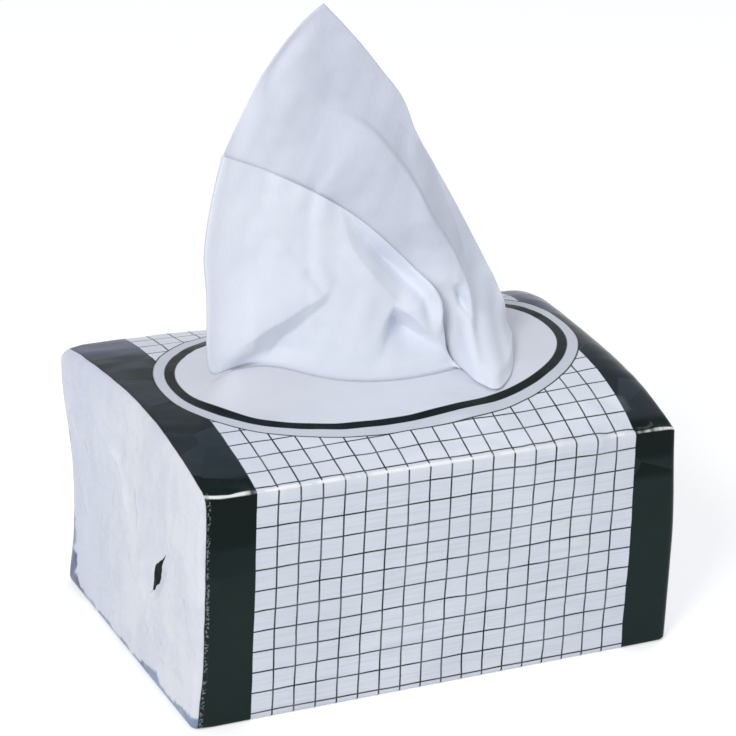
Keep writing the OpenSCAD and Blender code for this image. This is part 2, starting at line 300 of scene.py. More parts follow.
def eye(x):  # the slit's opening: a power of the share from its left tip times one from its right, about 1 at most
    q = slope(x, slitLeft, slitRight)
    left, right, largest = pack["eye"]
    return q ** left * (1 - q) ** right / largest


def frontLip(x):  # y of the slit's front lip
    return -pack["lipFront"] * eye(x)


def backLip(x):  # y of the slit's back lip
    return pack["lipBack"] * eye(x)


def filmTop(x, y):  # height of the film's top with its lift
    return domeZ(x, y) + liftZ(x, y)


# A cross-section at each x, from the front lip down the front, along the underside, up the back to the
# back lip: arch, small arc, straight wall, small arc and so on, all drawn in by inset; the top arcs widen
# by soft at the left end, and those at the right end and the bottom by a share of it
def packSection(x, inset, lips, drop, counts, soft=0.0):
    x, inset = np.asarray(x, float)[:, None], np.asarray(inset, float)[:, None]
    softFrom, softFull = (halfL - way for way in pack["softFrom"])
    rounder = soft * ramp(np.abs(x), softFrom, softFull) * np.where(x < 0, 1, pack["softRight"])
    rc = np.maximum(pack["crease"] - inset, pack["leastRadius"]) + rounder
    rb = np.maximum(pack["bottom"] - inset, pack["leastRadius"]) + pack["softBottom"] * rounder
    # how far a corner's centre moves in, where its radius can't shrink with the inset or grows by soft
    moveC, moveB = rc - pack["crease"] + inset, rb - pack["bottom"] + inset
    yc, yb, zb = halfD - pack["crease"] - moveC, halfD - pack["bottom"] - moveB, pack["bottom"] + moveB
    zFront, zBack = (domeZ(x, side * yc) - pack["crease"] - moveC - drop for side in (-1, 1))
    step = lambda n: np.linspace(0, 1, n + 1)[1:]
    arc = lambda n: step(n) * np.pi / 2
    dome = lambda y: (y, domeZ(x, y) + lips * liftZ(x, y) - inset - drop)
    one = np.ones_like(x)
    nd, nc, nw, nb, nu, nv, ne = counts
    parts = [
        dome(mix(lips * frontLip(x), -yc, np.linspace(0, 1, nd + 1))),
        (-yc - rc * np.sin(arc(nc)), zFront + rc * np.cos(arc(nc))),
        ((-halfD + inset) * np.ones(nw), mix(zFront, zb, step(nw))),
        (-yb - rb * np.cos(arc(nb)), zb - rb * np.sin(arc(nb))),
        (mix(-yb, yb, step(nu)) * one, inset * np.ones(nu)),
        (yb + rb * np.sin(arc(nb)), zb - rb * np.cos(arc(nb))),
        ((halfD - inset) * np.ones(nv), mix(zb, zBack, step(nv))),
        (yc + rc * np.cos(arc(nc)), zBack + rc * np.sin(arc(nc))),
        dome(mix(yc, lips * backLip(x), step(ne))),
    ]
    y = np.concatenate([p[0] * one for p in parts], 1)
    z = np.concatenate([p[1] * one for p in parts], 1)
    return y, z


# A quarter turn into an end: how far x runs beyond its start, and how far the section is drawn in
def quarterTurn(radius, count):
    angle = np.linspace(0, np.pi / 2, count)
    return radius * np.sin(angle), radius * (1 - np.cos(angle))


# film wrapper
wrapper = {
    # points on front arch, crease, front wall, bottom edge, underside, back wall and back arch
    "across": (48, 5, 36, 4, 32, 32, 36),
    "along": (21, 81, 23), "turnCount": 5,  # stations left of the slit, along it, right of it, and in each turn
    "rings": 44, "ringPower": 0.95,         # rings on each folded end, a little closer together at its rim
    "softCorner": 4.5,                      # what the corners' radius grows by at the left end
    # height and length of the film's waves
    "waves": {"broad": (0.28, 46), "small": (0.09, 15), "layers": (0.06, 3.2), "crinkle": (0.4, 8)},
    # height, middle and width of the left end's swell at its foot and its far corner, and the right end's swell
    "footSwell": (2.1, 0, 16), "cornerSwell": (5.8, 92, 32), "rightSwell": 3.2, "swellFrom": 58,
    "cell": (8.36, 8.0),                    # printed grid, along the pack and round it
    "cellShift": (1.85, -1.75),             # place of a grid line, from the middle and from the front crease
    "bands": (-73.1, 76.7), "bandBlur": 0.15,   # inner edges of the dark bands
    "oval": (1.0, 5.8), "ovalPower": 2.2,   # middle and fullness of the printed oval
    "ovalRings": ((82.0, 51.9), (81.4, 51.4), (77.6, 47.0), (73.7, 43.3)),
    "endFrom": 93.6, "endLeftSooner": 2.1,  # where the white ends start
    # the tear in the left end, in metres: y and z, direction, half length and half width, and the smudge beside it
    "tear": (-0.0246, 0.0432), "tearTurn": (-0.52, 0.85), "tearSize": (0.0116, 0.0035),
    "smudgeAside": 0.0042, "smudgeSize": (0.012, 0.0036),
    "filmColour": screenColour(225, 230, 240),
    "streakColour": screenColour(190, 197, 212),
    "cloudColour": screenColour(203, 208, 222),
    "panelColour": screenColour(221, 225, 235),
    "panelShade": screenColour(211, 213, 225),
    "lineColour": screenColour(36, 48, 52),
    "darkColour": screenColour(8, 24, 23),
    "ringPale": screenColour(20, 34, 38),
    "frontPrintAndSheen": screenColour(34, 48, 47),  # paler facets of the bands, on the front and on the top: partly print, partly painted reflection
    "topPrintAndSheen": screenColour(48, 57, 66),
    "farSheen": screenColour(80, 84, 106),   # painted reflection: sheen of the bands at the far side
    "silverColour": screenColour(205, 211, 221),
    "endColour": screenColour(223, 226, 234),
    # painted shade of the white ends: towards the far side, and in blotches for the crinkles
    "endFarShade": screenColour(203, 211, 232),
    "endCrinkleShade": screenColour(201, 207, 223),
    "sliverPale": screenColour(134, 152, 180),
    "sliverDark": screenColour(66, 90, 114),
    # painted highlights: along the front crease, and along the left end's front edge
    "creaseHighlightColour": screenColour(252, 253, 255),
    "edgeGlintColour": screenColour(206, 214, 218),
    "smudgeColour": screenColour(150, 160, 176),
    "tornColour": screenColour(8, 18, 20),
}

turnOut, turnIn = quarterTurn(pack["turn"], wrapper["turnCount"])
turnX = flatEnd - pack["turn"] + turnOut
leftCount, slitCount, rightCount = wrapper["along"]
slitX = np.linspace(slitLeft, slitRight, slitCount)
leftX = np.linspace(-turnX[0], slitLeft, leftCount)[1:-1]
rightX = np.linspace(slitRight, turnX[0], rightCount)[1:-1]
stationX = np.concatenate([-turnX[::-1], leftX, slitX, rightX, turnX])
stationIn = np.concatenate([turnIn[::-1], np.zeros(len(leftX) + len(slitX) + len(rightX)), turnIn])
secY, secZ = packSection(stationX, stationIn, 1.0, 0.0, wrapper["across"], wrapper["softCorner"])
# way round the section, from the middle of the front crease
stepLength = np.hypot(np.diff(secY), np.diff(secZ))
girth = np.concatenate([np.zeros((len(stationX), 1)), np.cumsum(stepLength, 1)], 1)
creaseAt = wrapper["across"][0] + wrapper["across"][1] // 2
girth = girth - girth[:, creaseAt:creaseAt + 1]
gridX = stationX[:, None] * np.ones_like(secY)
tanY, tanZ = np.gradient(secY, axis=1), np.gradient(secZ, axis=1)
tanLen = np.hypot(tanY, tanZ) + 1e-9
outY, outZ = tanZ / tanLen, -tanY / tanLen


# Unevenness of the film, square to its surface: broad swells, ripples along the stack's layers, and
# crinkles by the front crease, each a soft noise, and none at the foot
def filmSwell(x, g, z):
    wave = lambda key, a, b, seed: wrapper["waves"][key][0] * ripple(a, b, wrapper["waves"][key][1], seed)
    swell = wave("broad", x, g, 3) + wave("small", x, g * 1.6, 4)
    layers = wave("layers", x / 9, g, 5) * ramp(g, 2, 8)
    crinkle = wave("crinkle", x, g * 0.5, 6) * bell(g - 1, 4.5) * ramp(np.abs(x + 10), 15, 70)
    return ramp(z, 3, 9) * (swell + layers + crinkle)


# The ends swell, more the nearer to the end: the left one as bells at its foot and its far top corner,
# the right one at its lower part, so that it leans in towards its top
def endBulge(x, y, z):
    foot, corner = (high * bell(z - at, wide) for high, at, wide in (wrapper["footSwell"], wrapper["cornerSwell"]))
    left = foot + corner * ramp(y, -10, 60)
    right = wrapper["rightSwell"] * (1 - ramp(z, 40, 92))
    return np.where(x < 0, -left, right) * slope(np.abs(x), wrapper["swellFrom"], halfL) ** 2


swell = filmSwell(gridX, girth, secZ) * ramp(halfL - np.abs(gridX), 0, 4)
slitMiddle = 0.5 * (frontLip(gridX) + backLip(gridX))
swell = swell * (1 - bell(secY - slitMiddle, 14) * (secZ > 80))  # the lips stay smooth
filmY, filmZ = secY + outY * swell, secZ + outZ * swell
filmX = gridX + endBulge(gridX, filmY, filmZ)

# A folded end, as a swell outwards over its own y and z: the lower flap laid over the upper one, low
# ridges along bent lines, soft upright creases, and crumples, all fading out towards its rim
endFolds = {
    "lines": (((45, 5), (22, 16), (0, 25)), ((-1, 36), (-19, 20), (-27, 5)), ((-21, 13), (-42, 16), (-62, 16)),
              ((30, 80), (8, 62), (2, 40)), ((-40, 84), (-34, 66), (-44, 44))),
    "ridge": (1.2, 1.6),  # height and width of a ridge
    "flap": 36, "slant": 34, "flapHigh": 0.35, "rim": 5,  # the flap's height, how far its sides lean, its swell
    "upright": (0.45, 14),  # height and length of the upright creases
    "crumples": ((0.9, 38), (-0.45, 17)),  # height and length of the crumples
    "margin": 9, "sink": 0.2,
}


def endSwell(y, z, seed):
    margin, rim = endFolds["margin"], endFolds["rim"]
    inside = ramp(halfD - np.abs(y), 0, margin) * ramp(z, 0, margin) * ramp(domeZ(0 * y, y) - 4 - z, 0, margin)
    flapSide = (halfD - rim - np.abs(y)) - (z - rim) * endFolds["slant"] / endFolds["flap"]
    flap = endFolds["flapHigh"] * ramp(np.minimum(flapSide, endFolds["flap"] + rim - z), -rim, rim)
    high, length = endFolds["upright"]
    upright = high * ripple(y, z / 4, length, seed) * ramp(y, -40, 10)
    crumple = sum(high * np.abs(ripple(y, z, length, seed + 2 + k))
                  for k, (high, length) in enumerate(endFolds["crumples"]))
    creased = 0.0
    for line in endFolds["lines"]:
        gap, way = acrossLine(y, z, line)
        creased = creased + endFolds["ridge"][0] * bell(gap, endFolds["ridge"][1]) * hump(np.clip(way, 0.02, 0.98))
    return inside * (flap + upright + crumple + creased - endFolds["sink"])


shrink = np.linspace(1, 0, wrapper["rings"] + 1)[1:] ** wrapper["ringPower"]


# An end: rings of its outline shrunk towards its middle, moved out by the folds and the bulge
def endCap(ringY, ringZ, side, seed):
    y = ringY[None, :] * shrink[:, None]
    z = mix(pack["endMiddle"], ringZ[None, :], shrink[:, None])
    x = side * (flatEnd + endSwell(y, z, seed)) + endBulge(side * halfL + 0 * y, y, z)
    return np.stack([x, y, z], -1)


filmPoints = np.concatenate([
    endCap(filmY[0], filmZ[0], -1, 21)[::-1],
    np.stack([filmX, filmY, filmZ], -1),
    endCap(filmY[-1], filmZ[-1], 1, 31)])
capU = (halfL + (1 - shrink) * 60)[:, None] * np.ones((1, filmY.shape[1]))
filmU = np.concatenate([-capU[::-1], np.clip(gridX * halfL / flatEnd, -halfL, halfL), capU])
filmV = np.concatenate([np.repeat(girth[:1], len(capU), 0), girth, np.repeat(girth[-1:], len(capU), 0)])


def filmMaterial():
    material, n, shader = freshMaterial("printed_film")
    place = n.add("ShaderNodeTexCoord")
    spot = place.outputs["Object"]
    uvSpot = n.split(place.outputs["UV"])
    uMm, vMm = n.times(uvSpot[0], perMetre), n.times(uvSpot[1], perMetre)
    x, y, z = n.split(spot)
    cloud = n.noise(spot, 26, 3, 0.5)
    clouded = n.fade(cloud, 0.35, 0.75)
    onTop = n.fade(z, 0.0885, 0.0895)

    # the printed grid: the distance to the nearest line of each direction, with a little wander and uneven ink
    wander = n.minus(n.noise(spot, 45, 2), 0.5)
    nearest = []
    for way, cell, shift in zip((uMm, vMm), wrapper["cell"], wrapper["cellShift"]):
        line = n.plus(n.minus(way, shift), wander)
        nearest.append(n.math("PINGPONG", n.plus(line, 100 * cell), cell / 2))
    printed = n.larger(n.fade(nearest[0], 0.42, 0.22), n.fade(nearest[1], 0.40, 0.20))
    ink = n.timesPlus(n.noise(spot, 90, 2), 0.5, 0.68, clamp=True)

    # the wipes' edges show through the film as fine level streaks on the walls
    streak = n.noise(n.stretch(spot, 30, 30, 900), 1.0, 3, 0.6)
    wallOnly = n.fade(z, 0.088, 0.084)
    streakMask = n.times(n.fade(streak, 0.42, 0.68), wallOnly)
    paper = n.blend(n.times(streakMask, 0.34), wrapper["filmColour"], wrapper["streakColour"])
    paper = n.blend(n.times(clouded, 0.35), paper, wrapper["cloudColour"])
    colour = n.blend(n.times(printed, ink), paper, wrapper["lineColour"])

    # the bands: dark print with paler facets, each of its own tone and bluer on the top, partly print and partly
    # painted reflection; blackest by the front crease, where no paler tone is put
    (bandLeft, bandRight), blur = wrapper["bands"], wrapper["bandBlur"]
    band = n.larger(n.fade(uMm, bandLeft + blur, bandLeft - blur), n.fade(uMm, bandRight - blur, bandRight + blur))
    facet = n.cells(n.stretch(spot, 26, 44, 34), 1.0)
    printAndSheen = n.blend(onTop, wrapper["frontPrintAndSheen"], wrapper["topPrintAndSheen"])
    crease = n.timesPlus(n.minus(facet, 0.5), 16.0, n.away(vMm, 3.0))
    faceted = n.larger(onTop, n.times(n.fade(vMm, 48.0, 20.0), n.fade(x, 0.01, 0.0)))
    level = n.timesPlus(faceted, n.minus(n.times(facet, 0.9), 0.45), 0.45)
    tone = n.times(n.timesPlus(cloud, 0.5, level, clamp=True), n.fade(crease, 8.0, 12.0))
    dark = n.blend(tone, wrapper["darkColour"], printAndSheen)
    # painted reflection: a lavender sheen on the top of the bands towards the far side, reaching further forward on the
    # right
    farPlace = n.timesPlus(cloud, 0.012, n.timesPlus(n.plus(x, 0.083), 0.16, y))
    dark = n.blend(n.times(n.fade(farPlace, 0.043, 0.056), onTop), dark, wrapper["farSheen"])
    colour = n.blend(band, colour, dark)

    # the oval: each ring is painted over the larger one before it
    ovalX, ovalY = (n.away(n.times(v, perMetre), middle) for v, middle in zip((x, y), wrapper["oval"]))
    ringInk = n.blend(n.fade(cloud, 0.4, 0.7), wrapper["darkColour"], wrapper["ringPale"])
    panel = n.blend(n.times(clouded, 0.5), wrapper["panelColour"], wrapper["panelShade"])
    for (a, b), tint in zip(wrapper["ovalRings"], (ringInk, wrapper["silverColour"], ringInk, panel)):
        reach = n.plus(*(n.math("POWER", n.math("DIVIDE", v, radius), wrapper["ovalPower"])
                         for v, radius in ((ovalX, a), (ovalY, b))))
        colour = n.blend(n.times(n.fade(reach, 1.008, 0.992), onTop), colour, tint)

    # the white ends: on the left they start before the fold, with painted shade that is darker and bluer towards the
    # far side and in blotches for the crinkles, and slivers of print show along the foot and the far edge
    toLeft = n.fade(uvSpot[0], 0.001, -0.001)
    edge = n.timesPlus(n.noise(spot, 70, 3), 0.8, wrapper["endFrom"])
    edge = n.timesPlus(toLeft, -wrapper["endLeftSooner"], edge)
    endFace = n.fade(n.minus(n.math("ABSOLUTE", uMm), edge), -0.15, 0.15)
    wave = n.times(n.minus(n.noise(spot, 42, 3, 0.6), 0.30), 0.019)  # the slivers' uneven width
    low = n.fade(n.minus(z, wave), 0.0008, -0.0008)
    far = n.fade(n.minus(n.minus(0.0622, y), wave), 0.0008, -0.0008)
    sliver = n.larger(low, n.times(far, n.fade(z, 0.075, 0.060)))
    sliverTone = n.blend(n.fade(n.noise(spot, 30, 2), 0.50, 0.62), wrapper["sliverPale"], wrapper["sliverDark"])
    farShade = n.times(n.fade(n.timesPlus(cloud, 0.03, y), 0.010, 0.055), 0.5)
    crinkleShade = n.fade(n.noise(n.stretch(spot, 50, 60, 36), 1.0, 4, 0.65), 0.40, 0.66)
    white = n.blend(farShade, wrapper["endColour"], wrapper["endFarShade"])
    white = n.blend(n.times(crinkleShade, 0.5), white, wrapper["endCrinkleShade"])
    white = n.blend(sliver, white, sliverTone)

    # painted highlights: a broken white line along the front crease, and white dashes along the left end's front edge
    onCrease = n.fade(n.away(vMm, 0.2), 0.95, 0.35)
    highlightBreaks = n.fade(n.noise(n.stretch(spot, 70, 20, 20), 1.0, 3, 0.6), 0.34, 0.50)
    highlightHere = n.larger(n.fade(uMm, 66.0, 10.0), n.fade(uMm, 62.0, 74.0))
    colour = n.blend(n.times(onCrease, highlightBreaks, highlightHere, 0.85), colour, wrapper["creaseHighlightColour"])
    # painted highlight: white dashes along the left end's front edge
    onEdge = n.times(n.fade(n.away(uMm, -90.9), 0.9, 0.3), n.fade(y, -0.059, -0.061))
    edgeGlint = n.fade(n.noise(spot, 1100, 2), 0.50, 0.62)
    colour = n.blend(n.times(onEdge, edgeGlint, 0.3), colour, wrapper["edgeGlintColour"])
    colour = n.blend(endFace, colour, white)

    # a small dark tear between the folds of the left end, and a grey smudge beside it
    tearY, tearZ = (n.minus(v, middle) for v, middle in zip((y, z), wrapper["tear"]))
    (turnY, turnZ), (tearLong, tearWide) = wrapper["tearTurn"], wrapper["tearSize"]
    along = n.plus(n.times(tearY, turnY), n.times(tearZ, turnZ))
    aside = n.plus(n.times(tearY, turnZ), n.times(tearZ, -turnY))
    shape = n.plus(*(n.math("ABSOLUTE", n.math("DIVIDE", v, size))
                     for v, size in ((along, tearLong), (aside, tearWide))))
    ragged = n.timesPlus(n.noise(spot, 220, 2), 0.8, n.minus(shape, 0.40))
    torn = n.times(n.fade(ragged, 1.03, 0.95), toLeft, endFace)
    smudgePlace = (along, n.plus(aside, wrapper["smudgeAside"]))
    smudge = n.plus(*(n.math("POWER", n.math("DIVIDE", v, size), 2.0)
                      for v, size in zip(smudgePlace, wrapper["smudgeSize"])))
    colour = n.blend(n.times(n.fade(smudge, 1.0, 0.1), toLeft, endFace, 0.28), colour, wrapper["smudgeColour"])
    colour = n.blend(torn, colour, wrapper["tornColour"])
    n.join(colour, shader.inputs["Base Color"])
    n.join(n.timesPlus(torn, 0.8, n.timesPlus(cloud, 0.10, 0.12)), shader.inputs["Roughness"])
    shader.inputs["Specular IOR Level"].default_value = 0.06
    shader.inputs["Coat Weight"].default_value = 0.06
    shader.inputs["Coat Roughness"].default_value = 0.05

    # fine relief: streaks on the walls, crumples and long folds all over, sharp pinches on the ends
    crumple = n.noise(spot, 110, 3, 0.55)
    fold = n.noise(n.stretch(spot, 26, 60, 60), 1.0, 2, 0.5)
    pinch = n.away(n.noise(n.stretch(spot, 40, 70, 45), 1.0, 2, 0.5), 0.5)
    crossed = n.away(n.noise(n.stretch(spot, 40, 34, 58), 1.0, 3, 0.5), 0.5)
    height = n.plus(n.times(streak, wallOnly, 0.2), n.times(crumple, 0.6), n.times(fold, 1.2),
                    n.times(pinch, endFace, -4.0), n.times(crossed, endFace, 5.0))
    n.bumpOn(shader, height, 0.4, 0.0008)
    return material


film = gridPiece("printed_film_wrapper", filmPoints, np.stack([filmU, filmV], -1) * mm, filmMaterial())
wall = film.modifiers.new("film thickness", "SOLIDIFY")
wall.thickness = pack["film"] * mm
wall.offset = -1
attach(film, "root")
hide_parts("film_wrapper")
print("film wrapper:", len(film.data.polygons), "faces")


# nonwoven cloth, used by the stack and the wipe: long fine fibres over soft clouds, put out as a tone and a height
def clothGroup():
    group = bpy.data.node_groups.new("nonwoven_cloth", "ShaderNodeTree")
    for name, kind in (("Place", "NodeSocketVector"), ("Fibres", "NodeSocketFloat"), ("Clouds", "NodeSocketFloat")):
        group.interface.new_socket(name, in_out="INPUT", socket_type=kind)
    for name in ("Tone", "Height"):
        group.interface.new_socket(name, in_out="OUTPUT", socket_type="NodeSocketFloat")
    n = Nodes(group)
    given, made = n.add("NodeGroupInput").outputs, n.add("NodeGroupOutput").inputs
    fibre = n.noise(n.stretch(given["Place"], 900, 900, 320), 1.0, 4, 0.65)
    cloud = n.noise(given["Place"], 55, 3, 0.5)
    soft = n.times(n.minus(cloud, 0.5), given["Clouds"])
    n.join(n.timesPlus(fibre, given["Fibres"], soft, clamp=True), made["Tone"])
    n.join(n.timesPlus(cloud, 1.5, fibre), made["Height"])
    return group


nonwoven = clothGroup()
clothBump = {"strength": 0.25, "distance": 0.0003}


def clothNode(n, fibres, clouds):
    node = n.add("ShaderNodeGroup", node_tree=nonwoven)
    n.join(n.add("ShaderNodeTexCoord").outputs["Object"], node.inputs["Place"])
    node.inputs["Fibres"].default_value, node.inputs["Clouds"].default_value = fibres, clouds
    return node.outputs


# stack of wipes: the film's section drawn in, with a fine groove between the layers on its walls
stack = {
    "inset": 0.9, "drop": 1.0, "sink": 0.5,     # what it stays inside the film's outline, and below its top
    "turn": 2.2, "turnCount": 4, "endGap": 1.2, "stations": 40,
    "across": (16, 3, 40, 3, 6, 40, 16),        # points, in the order of the film's
    "layer": 1.3, "groove": 0.12, "wallTop": 84,
    # the cloth's own tones, and painted shade for the gaps between the layers
    "colour": screenColour(226, 230, 240), "pile": screenColour(212, 217, 230), "shade": screenColour(196, 201, 216),
}
stackTurnOut, stackTurnIn = quarterTurn(stack["turn"], stack["turnCount"])
stackTurnX = flatEnd - stack["turn"] - stack["endGap"] + stackTurnOut
stackMiddleX = np.linspace(-stackTurnX[0], stackTurnX[0], stack["stations"] + 2)[1:-1]
stackX = np.concatenate([-stackTurnX[::-1], stackMiddleX, stackTurnX])
stackIn = stack["inset"] + np.concatenate([stackTurnIn[::-1], np.zeros(stack["stations"]), stackTurnIn])
stackY, stackZ = packSection(stackX, stackIn, 0.0, stack["drop"], stack["across"])
stackSide = ramp(stackZ, 5, 9) * ramp(stack["wallTop"] - stackZ, 0, 4)
layered = stack["groove"] * np.abs(np.sin(np.pi * stackZ / (2 * stack["layer"])))
stackY = stackY - np.sign(stackY) * stackSide * layered
stackZ = np.maximum(stackZ - stack["sink"], pack["film"] + 0.01)
stackGrid = np.stack([stackX[:, None] * np.ones_like(stackY), stackY, stackZ], -1)
stackCaps = [stackGrid[k:k + 1] * (1, 0, 0) + (0, 0, pack["endMiddle"]) for k in (0, len(stackX) - 1)]
stackPoints = np.concatenate([stackCaps[0], stackGrid, stackCaps[1]])


def stackMaterial():
    material, n, shader = freshMaterial("wipe_layers")
    spot = n.add("ShaderNodeTexCoord").outputs["Object"]
    wander = n.times(n.noise(spot, 60, 2), 0.0012)
    layer = n.math("PINGPONG", n.plus(n.split(spot)[2], wander), stack["layer"] * mm / 2)
    cloth = clothNode(n, 0.4, 0.5)
    pile = n.blend(cloth["Tone"], stack["colour"], stack["pile"])
    # painted shade in a fine line at each gap between the layers
    n.join(n.blend(n.fade(layer, 0.0002, 0.0), pile, stack["shade"]), shader.inputs["Base Color"])
    shader.inputs["Roughness"].default_value = 0.9
    n.bumpOn(shader, cloth["Height"], **clothBump)
    return material


stackUv = np.stack([stackPoints[..., 0], stackPoints[..., 2]], -1) * mm
stackPiece = gridPiece("folded_wipe_stack", stackPoints, stackUv, stackMaterial())
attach(stackPiece, "root")
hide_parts("wipe_stack")
print("wipe stack:", len(stackPiece.data.polygons), "faces")

# pulled wipe: a sheet folded along its left side, its two layers drawn up through the slit
wipe = {
    "across": 290, "up": 130, "lipRows": 6, "footRows": 8,  # steps of the grid
    "upPower": 1.12,                    # rows lie a little closer together near the slit
    "thick": 0.3,
    "flat": (0.235, 0.175),             # the sheet when spread out, in metres
    "uv": (0.117, 0.175),               # half its width and its height in its UV map
    "fold": 0.14,                       # share of a layer that rolls round the left fold
    "plyGap": 0.35,                     # half the space that is kept between the layers
    "edgeGap": (0.6, 1.2),              # more space under the front layer's free edge, from left to right
    "keepOff": (0.7, 0.6, 0.5),         # least space of the layers, and what is added to the right
    "edgeBow": 1.3, "cornerDroop": 4.0, "hangFull": 2.5,
    "overFilm": 0.8,                    # height over the film at the lips
    "footFront": 42, "footBack": 57,    # how far each layer's foot runs on under the film
    "waves": ((0.40, 24), (0.12, 9)),   # height and length of its crumples
    "colour": screenColour(232, 237, 248), "shade": screenColour(220, 226, 240),
    # painted shade of the single layer behind, plain and with the fibres' tone
    "thin": screenColour(214, 219, 233), "thinShade": screenColour(201, 207, 223),
}
# share of the way along a layer, then x, y and z: the top edges of both layers, and the foot of the back layer,
# which crosses to the front lip at the right and hangs over it
frontEdge = ((0.0, -62.5, -3, 188.8), (0.16, -45.6, -3.6, 181.4), (0.27, -34.5, -4.2, 175.8),
             (0.38, -23.3, -5.0, 169.4), (0.47, -14.7, -5.8, 163.6), (0.545, -7.6, -6.6, 158.0),
             (0.65, 2.2, -7.4, 148.9), (0.76, 11.7, -8.2, 139.4), (0.83, 17.5, -8.8, 133.0),
             (0.89, 20.5, -9.5, 126.9), (0.945, 20.9, -10, 120.6), (1.0, 22.4, -11.5, 113.4))
backRise = ((0.0, -62.5, -3, 188.8), (0.07, -57.8, -2, 197.5), (0.2, -48.3, -3, 216.3), (0.34, -33.9, -4, 234.5),
            (0.42, -26.6, -4, 240.5))
backFall = ((0.42, -26.6, -4, 240.5), (0.47, -19.5, -4, 233.2), (0.575, -3.7, -3, 215.2), (0.65, 7.2, -2, 200.7),
            (0.69, 11.7, -2, 190.2), (0.75, 20.9, -1, 175.7), (0.86, 37.1, 0, 148.6), (0.95, 51.6, 1, 122.8),
            (1.0, 55.5, 2, 113.0))
backFoot = ((0, -56, -0.7), (0.1, -47, -0.6), (0.25, -31, 0.0), (0.4, -14, 0.4), (0.5, -4, 0.5), (0.6, 6, 0.2),
            (0.66, 13, -2), (0.70, 18.5, -6), (0.735, 23.5, -10.5), (0.765, 27, -16), (0.785, 28.4, -21),
            (0.80, 28.9, -25.7), (0.82, 30.8, -30), (0.84, 32.6, -33), (0.86, 35, -33.4), (0.885, 38.5, -31),
            (0.92, 43.5, -26), (0.955, 48.5, -18), (0.98, 52.5, -10), (1.0, 55.5, -4))
frontFootX = (-56, 26.5)
# share of the way up the left fold, and its x
leftFold = ((0, -56), (0.03, -62.5), (0.06, -65), (0.12, -66.2), (0.2, -66.4), (0.36, -66.9), (0.56, -68.3),
            (0.65, -67.8), (0.84, -65.4), (1.0, -62.5))
# creases, as x and z along each line, and how deep each of them is
frontLines = {
    "lowLeft": ((-60, 109), (-57, 114.5), (-47, 123.3), (-34.4, 129.6), (-25, 134.6), (-22, 137)),
    "nick": ((-31, 145), (-28.4, 142.3), (-25.6, 139), (-23.3, 136)),
    "overhang": ((-4.5, 133.2), (0, 129.8), (4.8, 126), (9, 122.7), (12.4, 119.5), (16.6, 115.4), (19.7, 111.9),
                 (23, 106.5)),
    "facet": ((-19, 168), (-17.5, 164), (-16.3, 159), (-13.5, 150), (-7.8, 142), (0.6, 132), (8, 123.5)),
    "edge": [(row[1], row[3]) for row in frontEdge],
}
frontDepth = {"lowLeft": 8.5, "lowLeftRaised": 5.0, "nick": 1.2, "nickRaised": 0.5, "overhang": 8.5,
              "overhangRaised": 2.0, "facet": 5.0, "edgeGroove": 2.2, "edgeRoll": 2.6}
backLines = {
    "step": ((-30, 205), (-24.4, 202), (-11.3, 196.3), (-1, 186), (9.4, 172.3), (16.8, 158.8), (24, 148.6),
             (29.5, 138.3), (32.5, 130), (33.5, 120)),
    "slit": ((27, 132.5), (28, 130), (30, 125), (32, 119.5)),
    "valley": ((9, 156), (11.7, 151), (16, 142), (20.5, 133.5)),
    "strip": ((-28, 237), (-33.3, 231.6), (-37.8, 226), (-43.8, 217.7), (-46, 207)),
}
backDepth = {"stepRaised": 6.0, "covered": 2.5, "belly": 1.5}
backDips = {"valley": (2.0, 4.5), "strip": (1.2, 2.6), "slit": (3.8, 1.4)}  # depth and width
# the hanging part's pleats: height towards the viewer, share of the way along, and width
pleats = ((1.7, 0.80, 0.018), (-1.2, 0.766, 0.017), (0.9, 0.872, 0.024), (-0.7, 0.836, 0.018), (0.7, 0.95, 0.026),
          (-0.4, 0.91, 0.02))


def edgeCurve(table, q):  # the smooth curve through a table's rows, whose first values are its knots
    return curveThrough([row[0] for row in table], [row[1:] for row in table], q)


def layerShare(s):  # straight from 0 on the left fold to 1 where the layer lies free of it
    return np.clip(np.abs(s) / wipe["fold"], 0, 1)


def foldLean(s, t):  # how far the left fold leans out of the straight line up from the slit, dying away along the layer
    return (edgeCurve(leftFold, t)[..., 0] - mix(leftFold[0][1], leftFold[-1][1], t)) * (1 - s) ** 7


def wipeCrumple(x, z):  # two soft noises, a broad one and a fine one
    return sum(high * ripple(x, z, length, 41 + k) for k, (high, length) in enumerate(wipe["waves"]))


# Depth of the front layer's folds, positive away from the viewer, over x and z: along each line the sheet
# steps back, dips or swells with the distance from the line, and its free edge is a roll with a groove under it
def frontFolds(x, z):
    depth = frontDepth
    gap, way = acrossLine(x, z, frontLines["lowLeft"])
    wide = 16 - 14 * way
    outside = np.maximum(np.maximum(-gap, gap - wide), 0)
    step = depth["lowLeft"] * slope(gap, -0.2, wide) - depth["lowLeftRaised"]
    fold = ramp(x, -66, -55) * (1 - way ** 1.8) * step * bell(outside, 18)
    gap, way = acrossLine(x, z, frontLines["nick"])
    fold = fold + (depth["nick"] * bell(gap - 1, 1.9) - depth["nickRaised"] * bell(gap + 3, 3)) * hump(way)
    gap, way = acrossLine(x, z, frontLines["overhang"])
    taper = ramp(way, 0.22, 0.40) * (1 - ramp(way, 0.40, 1.02))
    wide = 1 + 3.6 * taper
    pocket = depth["overhang"] * slope(gap, -0.2, wide) * bell(np.maximum(gap - wide, 0), 7)
    fold = fold + taper * (pocket - depth["overhangRaised"] * bell(gap + 3, 5))
    gap, way = acrossLine(x, z, frontLines["facet"])
    fold = fold + depth["facet"] * slope(-gap, 0, 7.5) * hump(way) ** 0.8
    gap, way = acrossLine(x, z, frontLines["edge"])
    rolled = depth["edgeGroove"] * bell(gap - 5.0, 2.4) - depth["edgeRoll"] * bell(gap - 0.6, 1.9)
    return fold + ramp(way, 0.44, 0.66) * ramp(way, 1, 0.9) * rolled


